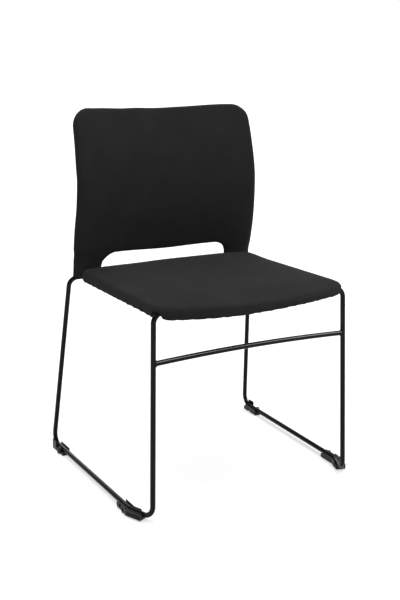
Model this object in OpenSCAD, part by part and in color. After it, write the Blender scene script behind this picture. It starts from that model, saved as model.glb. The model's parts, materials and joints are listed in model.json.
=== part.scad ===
// Stacking chair on a bent-rod sled frame, with an upholstered seat and back.
// +X is the sitter's left, +Y the back of the chair, +Z up. Origin: floor, under the middle.

/* [Part shown] */
// Node that is drawn

/* [Frame] */
// Diameter of the solid steel rod
rod_d = 11; // [9:0.5:11.5]
// Height of the front cross rod's centre
front_rail_z = 438.5; // [436:0.5:440]
// Height of the rear cross rod's centre
rear_rail_z = 431.9; // [430:0.1:433]
// Height of the stretcher between the front legs, at its ends
stretcher_z = 337; // [200:1:380]
// Rise of the stretcher's middle above its ends
stretcher_rise = 6; // [2:1:12]
// Bend radius of the rod's centre line at the top corners
top_bend_r = 21; // [19:1:26]
// Bend radius of the rod's centre line at the floor corners
foot_bend_r = 24; // [20:1:28]

/* [Seat] */
// Half of the seat's width
seat_half_w = 228; // [226:1:230]
// Rear edge of the seat
seat_rear_y = 182.5; // [178:0.5:183]
// Middle of the seat's bowed front edge
seat_front_y = -263.5; // [-266:0.5:-260]
// Height of the seat's top at the middle
seat_top_z = 457.5; // [456.5:0.5:460]

/* [Back] */
// Half of the back's width at its foot
back_half_w = 234; // [230:0.5:236]
// Height of the back's top corners
back_top_z = 817.5; // [780:0.5:840]
// Thickness of the upholstered back
back_t = 23.5; // [22:0.5:26]
// Depth of the back's curve from side to side
back_wrap = 15; // [5:1:20]
// Half of the hand hold's width
hold_half_w = 168; // [150:1:172]
// Height of the hand hold's top edge
hold_top_z = 485; // [480:0.5:500]

/* [Hidden] */

$fn = 48;
gap = 0.1;                                  // play between pieces that only touch
rod_r = rod_d / 2;
channel_d = rod_d + 2 * gap;                // width of a channel that the rod lies in
sole_t = 6.5;                               // thickness of a glide under the rod
runner_z = sole_t + rod_r;                  // height of the runner's centre line
bend_thinning = 0.04;                       // how much thinner the rod is where it is bent
run_overlap = 0.3;                          // how far a straight run reaches into a bend

// Corners of the side frame's centre line, from the middle of the front rail to that of the rear rail
front_y = -209.4;
rear_y = 198.4;
kick = [265, -163, runner_z];
kick_r = 60;               // radius of the sideways bend at the kick
heel = [275.8, 262.4, runner_z];
front_toe = [241.5, -219, runner_z];
front_knee = [229.3, front_y, front_rail_z];
rear_knee = [245.1, rear_y, rear_rail_z];
side_corners = [[0, front_y, front_rail_z], front_knee, front_toe, kick, heel, rear_knee,
    [0, rear_y, rear_rail_z]];
side_radii = [0, top_bend_r, foot_bend_r, kick_r, foot_bend_r, top_bend_r, 0];

// Seat rails: flat bars welded under the cross rods
rail_x = 150;
rail_w = 20;
rail_t = 4;
rail_front_y = front_y - 12;
rail_rear_y = rear_y + 12;
rail_slope = atan2(front_rail_z - rear_rail_z, rear_y - front_y);
rail_screw_y = [-170, 150];
rail_hole_d = 6.4;                          // clearance hole for an M6 screw

// Seat shell
seat_middle = [0, -40];
pan_top = 449;                              // top of the shell where it is level
pan_t = 4.6;
pad_min = 4.4;                              // least thickness of foam and cloth over the shell
shell_inset = 1.4;
hem_z = 428;                                // height of the cover's lower edge
hem_drop = 2;                               // how much lower it is along the front
rim_t = 6;                                  // the shell's rim, wide enough to staple into
rib_t = 2.5;
rib_h = 7;
rail_boss_d = 16;
post_boss_d = 10;
boss_hole_d = 8;                            // hole that a brass insert is pressed into
post_hole_d = 6.4;
cloth_t = 1.2;
front_bow = 48;                             // bulge of the front edge
corner_r = 28;
rear_corner_r = 26;
bow_r = (pow(seat_half_w, 2) + pow(front_bow, 2)) / (2 * front_bow);
bow_y = seat_front_y + bow_r;

// Back screws: two through each post into the seat shell
post_screw_x = [183, 213];
post_screw_z = 443.5;
foot_top_z = rear_rail_z + rod_r + 0.3;     // where the posts stand on the rear rod

// ---- vectors and bars ----

function unit(v) = v / norm(v);

// Frame of axes x, y, z at point o, as a matrix
function axes(x, y, z, o) = [[x[0], y[0], z[0], o[0]], [x[1], y[1], z[1], o[1]], [x[2], y[2], z[2], o[2]],
    [0, 0, 0, 1]];

// A direction square to v
function square_to(v) = unit(cross(v, abs(v[2]) < 0.9 ? [0, 0, 1] : [1, 0, 0]));

// Length that a bend of radius r takes off each run at corner b
function bend_cut(a, b, c, r) = r * tan(acos(unit(b - a) * unit(c - b)) / 2);

module bar(a, b, d) {
    z = unit(b - a);
    x = square_to(z);
    multmatrix(axes(x, cross(z, x), z, a)) cylinder(d = d, h = norm(b - a));
}

module bend(a, b, c, r, d) {
    u = unit(b - a);
    v = unit(c - b);
    n = unit(v - (v * u) * u);
    start = b - u * bend_cut(a, b, c, r);
    multmatrix(axes(-n, u, cross(-n, u), start + n * r))
        rotate_extrude(angle = acos(u * v), $fn = 96) translate([r, 0]) circle(d = d, $fn = 32);
}

// Round bar through the corners p with a bend of its own radius at each, where it thins a little.
// Each straight run reaches a hair into the bends at its ends.
module bent_rod(p, r, d) {
    n = len(p);
    cuts = [for (i = [0:n - 1]) i == 0 || i == n - 1 ? 0
        : bend_cut(p[i - 1], p[i], p[i + 1], r[i]) - run_overlap];
    union() {
        for (i = [0:n - 2]) {
            u = unit(p[i + 1] - p[i]);
            bar(p[i] + u * cuts[i], p[i + 1] - u * cuts[i + 1], d);
        }
        for (i = [1:n - 2]) bend(p[i - 1], p[i], p[i + 1], r[i], d - bend_thinning);
    }
}

// ---- frame ----

module side_rod(d = rod_d) bent_rod(side_corners, side_radii, d);

module right_frame_rod() color("#1d1d1f") side_rod();

module left_frame_rod() color("#1d1d1f") mirror([1, 0, 0]) side_rod();

// Point on the front leg's centre line at height z
function front_leg(z) = front_knee
    + (front_toe - front_knee) * (front_rail_z - z) / (front_rail_z - runner_z);

module front_stretcher() color("#1d1d1f") {
    end = front_leg(stretcher_z);
    arch_r = (pow(end[0], 2) + pow(stretcher_rise, 2)) / (2 * stretcher_rise);
    half_angle = asin(end[0] / arch_r);
    difference() {
        translate([0, end[1], stretcher_z + stretcher_rise - arch_r]) rotate([90, 0, 0])
            rotate([0, 0, 90 - half_angle]) rotate_extrude(angle = 2 * half_angle, $fn = 2880)
                translate([arch_r, 0]) circle(d = rod_d, $fn = 48);
        bar(front_knee, front_toe, channel_d);
        mirror([1, 0, 0]) bar(front_knee, front_toe, channel_d);
    }
}

// Height of the seat rail's top face at y
function rail_top(y) = front_rail_z - rod_r - (y - front_y) * tan(rail_slope);

module seat_rail() color("#1d1d1f") difference() {
    translate([rail_x, front_y, rail_top(front_y) - gap]) rotate([-rail_slope, 0, 0])
        translate([-rail_w / 2, rail_front_y - front_y, -rail_t])
            cube([rail_w, rail_rear_y - rail_front_y, rail_t]);
    for (y = rail_screw_y) translate([rail_x, y, rail_top(y) - 12]) cylinder(d = rail_hole_d, h = 20);
}

module right_seat_rail() seat_rail();

module left_seat_rail() mirror([1, 0, 0]) seat_rail();

// ---- seat outline ----

// Points on an arc about c from angle a to b, in n steps
function arc(c, r, a, b, n) = [for (i = [0:n]) c + r * [cos(a + (b - a) * i / n), sin(a + (b - a) * i / n)]];

front_corner = [seat_half_w - corner_r,
    bow_y - sqrt(pow(bow_r - corner_r, 2) - pow(seat_half_w - corner_r, 2))];
bow_angle = atan2(front_corner[1] - bow_y, front_corner[0]);

// Right half of the seat's outline, inset by d, from the rear middle to the front middle
function half_outline(d) = concat(
    [for (x = [0, 80, 150]) [x, seat_rear_y - d]],
    arc([seat_half_w - rear_corner_r, seat_rear_y - rear_corner_r], max(rear_corner_r - d, 0.5), 90, 0, 5),
    [for (y = [110, 45, -20, -85, -140]) [seat_half_w - d, y]],
    arc(front_corner, corner_r - d, 0, bow_angle, 8),
    [for (i = [1:5]) [0, bow_y] + (bow_r - d) * [cos(bow_angle + (-90 - bow_angle) * i / 5),
        sin(bow_angle + (-90 - bow_angle) * i / 5)]]);

function outline(d) = let(h = half_outline(d), n = len(h))
    concat(h, [for (i = [n - 2:-1:1]) [-h[i][0], h[i][1]]]);

// Smooth step from 0 at a to 1 at b
function ramp(t, a, b) = let(s = min(max((t - a) / (b - a), 0), 1)) s * s * (3 - 2 * s);

// Height of the seat's top: level, dished a little, and falling towards the front edge
function seat_top(p) = seat_top_z - 8 * ramp(-p[1], 175, 275) - 2.5 * ramp(abs(p[0]), 120, 230);

// How much the front corners are cut away for the rod
function corner_cut(p) = abs(p[0]) > 190 ? ramp(-p[1], 192, 200) * (1 - ramp(-p[1], 215, 221)) : 0;

// How much the rear corners are cut away for the posts' fixings
function rear_cut(p) = abs(p[0]) > 160 ? ramp(p[1], 165, 172) : 0;

// Height of the seat's lower edge
function seat_hem(p) = hem_z - hem_drop * ramp(-p[1], 150, 215) + 14 * corner_cut(p) + 13 * rear_cut(p);

// Height of the shell's top face: level, and lower where the seat's edge falls away
function shell_top(p) = min(pan_top, seat_top(p) - pad_min);

// How much of the edge's rounding is left at the cut corners
function cut_scale(p) = 1 - 0.65 * max(rear_cut(p), corner_cut(p));

// Heights measured from the hem, from the seat's top and from the shell's top
function above_hem(h, lift = 0) = function(p) seat_hem(p) + lift + h * cut_scale(p);

function below_top(h) = function(p) max(seat_top(p) - h, seat_hem(p) + 8 * cut_scale(p) + 0.4);

function below_shell(h) = function(p) shell_top(p) - h;

// Height on the shell's outer wall: from the hem, but at least k below the shoulder
function on_wall(h, lift, k) = function(p)
    min(seat_hem(p) + lift + h * cut_scale(p), shell_top(p) - pan_t - k);

// A ring of the seat: outline inset by d and drawn in by k towards the middle, at heights z(p)
function ring(d, k, z) = [for (p = outline(d))
    let(q = seat_middle + (p - seat_middle) * k) [q[0], q[1], z(q)]];

// Closed solid between an outer and an inner stack of rings, each ending in a pole
module cap_solid(outer, outer_pole, inner, inner_pole) {
    n = len(outer[0]);
    a = len(outer);
    b = len(inner);
    points = concat([for (r = outer) each r], [outer_pole], [for (r = inner) each r], [inner_pole]);
    base = a * n + 1;
    faces = concat(
        [for (k = [0:a - 2], i = [0:n - 1]) each strip(k * n, (k + 1) * n, i, n)],
        [for (i = [0:n - 1]) [(a - 1) * n + i, (a - 1) * n + (i + 1) % n, a * n]],
        [for (k = [0:1:b - 2], i = [0:n - 1]) each strip(base + (k + 1) * n, base + k * n, i, n)],
        [for (i = [0:n - 1]) [base + (b - 1) * n + (i + 1) % n, base + (b - 1) * n + i, base + b * n]],
        [for (i = [0:n - 1]) each strip(base, 0, i, n)]);
    polyhedron(points, faces, convexity = 6);
}

// The two triangles between points i and i + 1 of two rings of n points
function strip(p, q, i, n) = let(j = (i + 1) % n) [[p + i, p + j, q + j], [p + i, q + j, q + i]];

// Rings that draw in towards the middle at an inset of 12
function inner_rings(z) = [for (k = [0.86, 0.6, 0.3]) ring(12, k, z)];

// Seat surface at depth t under the cover's face, from its hem to its top
function seat_skin(t) = concat(
    [ring(9, 1, above_hem(0, t)), ring(6 + t * 0.3, 1, above_hem(0.1, t)),
     ring(3 + t * 0.8, 1, above_hem(1.2, t * 0.6)), ring(1.2 + t, 1, above_hem(3.6, t * 0.3)),
     ring(t, 1, above_hem(8)), ring(t, 1, below_top(12 + t * 0.3))],
    seat_face(t));

// The rounded edge and the top of the seat at depth t
function seat_face(t) = concat(
    [for (e = [[1, 7.5], [3.2, 4.3], [6.5, 2.1], [12, 0.5]]) ring(e[0] + t, 1, below_top(e[1] + t))],
    inner_rings(below_top(t)));

// The shell's shoulder and top face, raised by lift
function shell_face(lift) = concat(
    [ring(shell_inset + lift, 1, below_shell(pan_t - lift)),
     ring(shell_inset + 3, 1, below_shell(1.4 - lift)), ring(12, 1, below_shell(-lift))],
    inner_rings(below_shell(-lift)));

function pole(z) = [seat_middle[0], seat_middle[1], z];

// Ways through the seat's rear edge for the bosses that reach back to the posts
module seat_boss_holes() for (x = post_screw_x, s = [-1, 1])
    translate([s * x, 165, post_screw_z]) rotate([-90, 0, 0]) cylinder(d = post_boss_d + 4 * gap, h = 30);

module seat_cover() color("#2b2b2d") difference() {
    cap_solid(seat_skin(0), pole(seat_top_z), seat_skin(cloth_t), pole(seat_top_z - cloth_t));
    seat_boss_holes();
}

module seat_foam() color("#8f8a78") {
    t = cloth_t + gap;
    cap_solid(concat([ring(t, 1, below_shell(pan_t - gap / 2))], seat_face(t)), pole(seat_top_z - t),
        shell_face(gap), pole(pan_top + gap));
}

module seat_shell() color("#232325") difference() {
    union() {
        rim = shell_inset + rim_t;
        cap_solid(concat([ring(shell_inset + 3.5, 1, on_wall(0.5, 1.5, 0.9)),
                ring(shell_inset + 1.5, 1, on_wall(3.9, 0.7, 0.6)),
                ring(shell_inset, 1, on_wall(8.4, 0.2, 0.3))], shell_face(0)), pole(pan_top),
            concat([ring(rim, 1, on_wall(0.5, 1.5, 0.9)), ring(rim, 1, below_shell(pan_t)),
                ring(12, 1, below_shell(pan_t))], inner_rings(below_shell(pan_t))), pole(pan_top - pan_t));
        // Bosses over the seat rails
        for (x = [-rail_x, rail_x], y = rail_screw_y)
            translate([x, y, rail_top(y) + 2 * gap])
                cylinder(d = rail_boss_d, h = pan_top - 1 - rail_top(y));
        // Stiffening ribs under the pan
        rib_z = pan_top - 4 - rib_h;
        for (x = [-90:60:90]) translate([x - rib_t / 2, -190, rib_z]) cube([rib_t, 358, rib_h]);
        for (y = [-120:80:120]) translate([-215, y - rib_t / 2, rib_z]) cube([430, rib_t, rib_h]);
        // Bosses that reach back to the posts
        for (x = post_screw_x, s = [-1, 1]) translate([s * x, 150, post_screw_z]) rotate([-90, 0, 0])
            cylinder(d = post_boss_d, h = post_front(s * x, post_screw_z) - gap - 150);
    }
    for (x = [-rail_x, rail_x], y = rail_screw_y)
        translate([x, y, rail_top(y) - 1]) cylinder(d = boss_hole_d, h = 11.2);
    for (x = post_screw_x, s = [-1, 1]) translate([s * x, 172, post_screw_z]) rotate([-90, 0, 0])
        cylinder(d = post_hole_d, h = 40);
}

// ---- back ----

// Front face of the back at the side edges: forward at the lumbar, leaning back above it
function back_profile(z) = 150 + (z > 645 ? 0.0012 : 0.00084) * pow(max(z, 470) - 645, 2)
    + 0.08 * max(470 - z, 0);

// How much the posts' outer edges roll back
function post_roll(x, z) = foot_roll * ramp(abs(x), 196, 236) * (1 - ramp(z, 540, 700));

function back_mid(x, z) = back_profile(z) + back_t / 2 + back_wrap * (1 - pow(x / 230, 2)) + post_roll(x, z);

// Outward normal of the back's middle surface, towards the rear
function back_normal(x, z) = unit([back_mid(x - 1, z) - back_mid(x + 1, z), 2,
    back_mid(x, z - 1) - back_mid(x, z + 1)]);

// Point at distance t behind the middle surface, at the outline point q
function off_mid(q, t) = [q[0], back_mid(q[0], q[1]), q[1]] + t * back_normal(q[0], q[1]);

function post_front(x, z) = back_mid(x, z) - plate_t / 2;

plate_t = 9;                                // thickness of the back's moulded shell
rim_r = 11;                                 // rounding of the back's rim
top_corner_r = 42;
hold_corner_r = 38;
hold_sag = 3;                               // how much the hand hold's top edge sags at its middle
top_dip = 5;                                // how much the back's top edge dips at its middle
side_taper = 7.5;                           // how much narrower each side is at the top

foot_swell = 2.2;                           // how much wider each side is at the posts
foot_roll = 4;

function back_side(z) = back_half_w + foot_swell * (1 - ramp(z, 520, 680))
    - side_taper * pow(max(z - 520, 0) / 270, 1.6);

// Columns of the back's grid: close together at the posts' edges
hold_columns = [0, 50, 95, hold_half_w - 38, hold_half_w - 24, hold_half_w - 13, hold_half_w - 5,
    hold_half_w - 1];
post_steps = [0, 0.01, 0.04, 0.11, 0.22, 0.42, 0.64, 0.8, 0.9, 0.96, 0.99, 1];
back_columns = concat([for (i = [len(post_steps) - 1:-1:0]) -(1 + post_steps[i])],
    [for (i = [len(hold_columns) - 1:-1:1]) -hold_columns[i] / hold_half_w],
    [for (x = hold_columns) x / hold_half_w], [for (s = post_steps) 1 + s]);
column_count = len(back_columns);
post_cells = len(post_steps) - 1;

// Rows: a few close steps at the foot of the posts, then the rows of the whole panel
foot_rows = [0, 0.3, 1.4, 3.4];
edge_steps = [0, 0.6, 2.4, 6, 13];
panel_parts = [0.06, 0.16, 0.28, 0.4, 0.52, 0.64, 0.76, 0.88];
row_count = len(foot_rows) + 2 * len(edge_steps) + len(panel_parts);

// Sideways place of column c inset by d, before the taper
function column_x(c, d) = let(h = hold_half_w + d, w = back_half_w - side_taper - d)
    abs(c) <= 1 ? c * h : sign(c) * (h + (abs(c) - 1) * (w - h));

function round_drop(t, r) = t <= 0 ? 0 : r - sqrt(max(r * r - t * t, 0));

function panel_low(x, d) = let(r = hold_corner_r + d, h = hold_half_w + d)
    hold_top_z + d - hold_sag * (1 - ramp(abs(x), 0, 120)) - round_drop(min(abs(x), h) - (h - r), r);

function panel_high(x, d) = let(r = top_corner_r - d, w = back_half_w - side_taper - d)
    back_top_z - d - top_dip * (1 - ramp(abs(x), 20, 170)) - round_drop(abs(x) - (w - r), r);

function row_z(j, x, d, foot) = let(f = len(foot_rows), e = len(edge_steps), m = len(panel_parts),
        k = j - f, low = panel_low(x, d), high = panel_high(x, d))
    k < 0 ? foot + foot_rows[j] :
    k < e ? low + edge_steps[k] :
    k < e + m ? low + edge_steps[e - 1] + (high - low - 2 * edge_steps[e - 1]) * panel_parts[k - e] :
    high - edge_steps[2 * e + m - 1 - k];

// Point of the grid in the XZ plane
function back_xz(i, j, d, foot) = let(x = column_x(back_columns[i], d), z = row_z(j, x, d, foot),
        s = max(abs(back_columns[i]) - 1, 0))
    [x + sign(x) * s * (back_side(z) - back_half_w + side_taper), z];

// Distance from a point to the back's edge, all round and at the hand hold
function edge_distance(x, z, foot) = let(
        side = back_side(z) - abs(x),
        top = back_top_z - z - top_dip * (1 - ramp(abs(x), 20, 170)),
        corner = side < top_corner_r && top < top_corner_r
            ? top_corner_r - norm([top_corner_r - side, top_corner_r - top]) : min(side, top),
        hx = abs(x) - (hold_half_w - hold_corner_r),
        hz = z - (hold_top_z - hold_sag * (1 - ramp(abs(x), 0, 120)) - hold_corner_r),
        hold = norm([max(hx, 0), max(hz, 0)]) + min(max(hx, hz), 0) - hold_corner_r)
    max(min(corner, hold, z - foot), 0);

// Half thickness at distance e from the edge: a rounded rim of radius r
function rim(e, r, half) = half * pow(max(1 - pow(1 - min(e / r, 1), 2.4), 0), 1 / 2.4);

function cell(i, j) = j >= len(foot_rows) || i < post_cells || i >= column_count - 1 - post_cells;

function in_grid(i, j) = i >= 0 && j >= 0 && i < column_count - 1 && j < row_count - 1 && cell(i, j);

// Closed solid between two sheets of points on the back's grid
module back_solid(near, far) {
    w = column_count;
    m = w * row_count;
    points = concat([for (j = [0:row_count - 1], i = [0:w - 1]) near[j][i]],
        [for (j = [0:row_count - 1], i = [0:w - 1]) far[j][i]]);
    faces = [for (j = [0:row_count - 2], i = [0:w - 2]) if (cell(i, j))
        let(a = j * w + i, b = a + 1, c = a + w + 1, d = a + w) each concat(
            [[a, d, c], [a, c, b], [a + m, c + m, d + m], [a + m, b + m, c + m]],
            in_grid(i, j - 1) ? [] : [[a, b, b + m], [a, b + m, a + m]],
            in_grid(i, j + 1) ? [] : [[c, d, d + m], [c, d + m, c + m]],
            in_grid(i - 1, j) ? [] : [[d, a, a + m], [d, a + m, d + m]],
            in_grid(i + 1, j) ? [] : [[b, c, c + m], [b, c + m, b + m]])];
    polyhedron(points, faces, convexity = 8);
}

// A sheet of the back: grid inset by d, with its depth from the middle given by the rim at depth t
function cover_sheet(side, t) = [for (j = [0:row_count - 1]) [for (i = [0:column_count - 1])
    let(q = back_xz(i, j, t, foot_top_z + t), e = edge_distance(q[0], q[1], foot_top_z) - t)
    off_mid(q, side * (gap + rim(max(e, 0), rim_r - t, back_t / 2 - t - gap)))]];

// A sheet of the back at a fixed distance from the middle
function flat_sheet(d, foot, y) = [for (j = [0:row_count - 1]) [for (i = [0:column_count - 1])
    off_mid(back_xz(i, j, d, foot), y)]];

// A sheet of the back that follows the cover at depth t, on the grid of the shell's own outline
function pad_sheet(side, d, t) = [for (j = [0:row_count - 1]) [for (i = [0:column_count - 1])
    let(q = back_xz(i, j, d, foot_top_z + d), e = edge_distance(q[0], q[1], foot_top_z) - t)
    off_mid(q, side * rim(max(e, 0), rim_r - t, back_t / 2 - t - gap))]];

// Holes in the front of the back for the bosses that carry its screws
module back_boss_holes() for (x = post_screw_x, s = [-1, 1])
    translate([s * x, 150, post_screw_z]) rotate([-90, 0, 0]) cylinder(d = post_boss_d + 4 * gap, h = 50);

module back_cover_front() color("#2b2b2d") difference() {
    back_solid(cover_sheet(-1, 0), cover_sheet(-1, cloth_t));
    back_boss_holes();
}

module back_cover_rear() color("#2b2b2d") back_solid(cover_sheet(1, cloth_t), cover_sheet(1, 0));

module back_front_foam() color("#8f8a78") difference() {
    back_solid(pad_sheet(-1, 5, cloth_t + gap), flat_sheet(5, foot_top_z + 5, -plate_t / 2 - gap));
    back_boss_holes();
}

module back_rear_foam() color("#8f8a78")
    back_solid(flat_sheet(5, foot_top_z + 5, plate_t / 2 + gap), pad_sheet(1, 5, cloth_t + gap));

module back_shell() color("#232325") difference() {
    back_solid(flat_sheet(4, foot_top_z + 1.4, -plate_t / 2), flat_sheet(4, foot_top_z + 1.4, plate_t / 2));
    for (x = post_screw_x, s = [-1, 1]) {
        y = post_front(s * x, post_screw_z);
        translate([s * x, y - 5, post_screw_z]) rotate([-90, 0, 0]) cylinder(d = 5.2, h = 30);
        translate([s * x, y + plate_t - 3.2, post_screw_z]) rotate([-90, 0, 0]) cylinder(d = 9.4, h = 10);
    }
}

// ---- fasteners ----

module tube(od, id, h) difference() {
    cylinder(d = od, h = h);
    translate([0, 0, -1]) cylinder(d = id, h = h + 2);
}

module at_rail_screws() for (s = [-1, 1], y = rail_screw_y)
    translate([s * rail_x, y, rail_top(y)]) children();

module at_back_screws() for (s = [-1, 1], x = post_screw_x)
    translate([s * x, post_front(s * x, post_screw_z), post_screw_z]) rotate([-90, 0, 0]) children();

module seat_inserts() color("#b08d4a") at_rail_screws() translate([0, 0, 0.4]) tube(7.9, 6.1, 9.6);

module seat_washers() color("#8d9094") at_rail_screws()
    translate([0, 0, -rail_t - 1.9]) tube(14, 6.4, 1.4);

// Button-head screw with a hexagon socket, shank up
module button_screw(d, h, head_d, head_h) difference() {
    union() {
        cylinder(d = d, h = h);
        translate([0, 0, -head_h]) cylinder(d = head_d, h = head_h);
    }
    translate([0, 0, -head_h - 1]) cylinder(d = d * 0.7, h = head_h * 0.6 + 1, $fn = 6);
}

module seat_screws() color("#8d9094") at_rail_screws()
    translate([0, 0, -rail_t - 2]) button_screw(6, 15, 11, 3.2);

module back_inserts() color("#b08d4a") at_back_screws() translate([0, 0, -12]) tube(6.3, 5.1, 11.5);

module back_screws() color("#8d9094") at_back_screws() translate([0, 0, plate_t - 3.1]) mirror([0, 0, 1])
    button_screw(5, 16, 9, 3);

// Staples that hold the seat cover's hem to the shell's rim, along the sides
module cover_staples() color("#8d9094") for (s = [-1, 1], y = [-150:50:150])
    translate([s * (seat_half_w - 7), y, seat_hem([0, y]) - 0.35]) cube([1.2, 10, 0.6], center = true);

// ---- glides ----

ahead = unit([front_toe[0] - kick[0], front_toe[1] - kick[1]]);
astern = unit([heel[0] - kick[0], heel[1] - kick[1]]);
ahead_out = [-ahead[1], ahead[0]];
astern_out = [astern[1], -astern[0]];
kick_out = (ahead_out + astern_out) / (1 + ahead_out * astern_out);

// Point in plan on the runner: s from the kick (minus towards the leg), off outward from the rod's centre
function on_runner(s, off) = [kick[0], kick[1]] + (s < 0 ? -s * ahead + off * ahead_out
    : s > 0 ? s * astern + off * astern_out : off * kick_out);

// Outline in plan along the runner from s0 to s1, between the offsets a and b
function along(s0, s1, a, b) = s0 < 0 && s1 > 0
    ? [on_runner(s0, a), on_runner(0, a), on_runner(s1, a),
        on_runner(s1, b), on_runner(0, b), on_runner(s0, b)]
    : [on_runner(s0, a), on_runner(s1, a), on_runner(s1, b), on_runner(s0, b)];

module run_block(s0, s1, a, b, z0, z1)
    translate([0, 0, z0]) linear_extrude(z1 - z0) polygon(along(s0, s1, a, b));

// Round lug on the outer side at station s, with its axis pointing outward
module lug(s, z, d, off0, off1) {
    p = on_runner(s, off0);
    q = on_runner(s, off1);
    bar([p[0], p[1], z], [q[0], q[1], z], d);
}

sole_in = -8.5;                             // offsets of the glide's inner and outer faces
sole_out = 8.5;
channel_in = -rod_r - 0.2;                  // offsets of the channel's walls above the rod's centre
channel_out = rod_r - 0.1;
wall_in = rod_r + 0.4;                      // inner face of the outer wall
sole_h = 8.5;
strip = [-10.2, -8.8];                      // offsets of the strip that stands off the inner side
strip_z = [3, 15.5];
link_z = 8;                                 // height of the linking pin and socket
link_pin_d = 8;
link_socket_d = 9;
link_from = 7;                              // offset of the socket's floor

// Sole under the rod from s0 to s1, with an inner strip on a web from t0 to t1
module sole(s0, s1, t0, t1) {
    run_block(s0, s1, sole_in, sole_out, 0, sole_h);
    run_block(t0, t1, strip[0], strip[1], strip_z[0], strip_z[1]);
    run_block(t0, t1, strip[0], -6, 1, 4);
}

// Hollow side of the link: a round socket at station s
module link_socket(s) lug(s, link_z, link_socket_d, link_from, 20);

front_pin_s = 15;                           // stations of the front glide's link and of its smaller lug
front_lug_s = 39;

// Glide around the kick: sole, inner and outer walls, and the linking block on the outer side
module front_glide(socket) color("#19191b") difference() {
    union() {
        sole(-34, 49, -22, 41);
        run_block(-34, 49, wall_in, sole_out, 5, 15);
        run_block(-38, 3, 7, 13.5, 3, 14);
        lug(front_pin_s, link_z, 15.2, 6, 12);
        lug(front_lug_s, 9.5, 13, 6, 11);
        if (!socket) lug(front_pin_s, link_z, link_pin_d, 6, 17);
    }
    side_rod(channel_d);
    run_block(-60, 75, channel_in, channel_out, runner_z, 30);
    lug(front_lug_s, 9.5, 6, link_from, 20);
    if (socket) link_socket(front_pin_s);
    // Ridges of the linking block
    for (z = [5.5:3:11.5]) run_block(-40, -1, 12.4, 15, z, z + 1.2);
}

rear_glide_s = heel[1] - kick[1] - 12;      // station of the rear glide's rear end

// Glide at the rear end of the runner
module rear_glide(socket) color("#19191b") difference() {
    s1 = rear_glide_s;
    pin_s = s1 - 44;
    union() {
        sole(s1 - 62, s1, s1 - 60, s1 - 10);
        run_block(s1 - 22, s1, wall_in, sole_out + 0.5, 0, 23);
        lug(pin_s, link_z, 15, 6, socket ? 13 : 11);
        if (!socket) lug(pin_s, link_z, link_pin_d, 6, 13);
    }
    side_rod(channel_d);
    run_block(s1 - 90, s1 - 18, channel_in, channel_out, runner_z, 30);
    run_block(s1 - 30, s1 + 9, -channel_out, channel_out, runner_z, 30);
    // Notch under the rod between the end wall and the link
    run_block(s1 - 34, s1 - 22, -20, 20, -1, 4.5);
    if (socket) link_socket(pin_s);
}

module front_right_glide() front_glide(false);

module front_left_glide() mirror([1, 0, 0]) front_glide(true);

module rear_right_glide() rear_glide(false);

module rear_left_glide() mirror([1, 0, 0]) rear_glide(true);

// ---- stacking bumpers ----

bumper_x = 172;                             // inner end of a bumper
bumper_w = 22;
bumper_d = 18;
bumper_lip = 3.4;                           // how far a bumper closes round the rod above its centre

// Saddle clipped under a cross rod, which keeps a chair above off this one's seat
module bumper(y, z) color("#19191b") translate([bumper_x, y, z]) rotate([0, 90, 0]) difference() {
    cylinder(d = bumper_d, h = bumper_w);
    translate([0, 0, -1]) cylinder(d = channel_d, h = bumper_w + 2);
    translate([-bumper_lip - 14, 0, bumper_w / 2]) cube([28, 30, 30], center = true);
}

module front_right_bumper() bumper(front_y, front_rail_z);

module front_left_bumper() mirror([1, 0, 0]) bumper(front_y, front_rail_z);

module rear_right_bumper() bumper(rear_y, rear_rail_z);

module rear_left_bumper() mirror([1, 0, 0]) bumper(rear_y, rear_rail_z);

left_frame_rod();
right_frame_rod();
front_stretcher();
left_seat_rail();
right_seat_rail();
seat_shell();
seat_foam();
seat_cover();
back_shell();
back_front_foam();
back_rear_foam();
back_cover_front();
back_cover_rear();
seat_inserts();
seat_screws();
seat_washers();
back_inserts();
back_screws();
front_left_glide();
front_right_glide();
rear_left_glide();
rear_right_glide();
front_left_bumper();
front_right_bumper();
rear_left_bumper();
rear_right_bumper();
cover_staples();
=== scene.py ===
"""Looks of the stacking chair: upholstery, enamelled rods, moulded feet, floor, light and camera."""
import math

import bmesh
import bpy
import numpy as np
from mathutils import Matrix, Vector, noise
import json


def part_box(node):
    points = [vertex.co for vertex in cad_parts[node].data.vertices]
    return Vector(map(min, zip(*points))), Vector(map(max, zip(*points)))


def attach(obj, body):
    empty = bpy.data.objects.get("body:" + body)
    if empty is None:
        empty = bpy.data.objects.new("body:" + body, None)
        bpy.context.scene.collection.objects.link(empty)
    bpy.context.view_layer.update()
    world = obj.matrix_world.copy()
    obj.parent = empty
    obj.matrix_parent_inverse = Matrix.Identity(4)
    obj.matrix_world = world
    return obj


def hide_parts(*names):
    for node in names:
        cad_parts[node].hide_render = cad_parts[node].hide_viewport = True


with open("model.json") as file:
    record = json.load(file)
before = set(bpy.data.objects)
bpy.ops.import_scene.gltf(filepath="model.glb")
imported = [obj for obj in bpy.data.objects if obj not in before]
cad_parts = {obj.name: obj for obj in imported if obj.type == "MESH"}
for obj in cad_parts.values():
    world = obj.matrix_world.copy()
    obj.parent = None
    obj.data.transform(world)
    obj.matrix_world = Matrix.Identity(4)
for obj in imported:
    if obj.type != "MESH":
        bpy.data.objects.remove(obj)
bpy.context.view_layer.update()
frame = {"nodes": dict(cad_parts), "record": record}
MM = 0.001
WELD_GAP = 1e-6        # points this close, in metres, become one
MIN_R = 0.2            # least radius of a corner, in millimetres, which keeps its points apart


def box_mm(node):
    """Lowest and highest corner of a CAD node, in millimetres."""
    lo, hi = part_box(node)
    return np.array(lo) / MM, np.array(hi) / MM


# ---- small helpers ----

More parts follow.
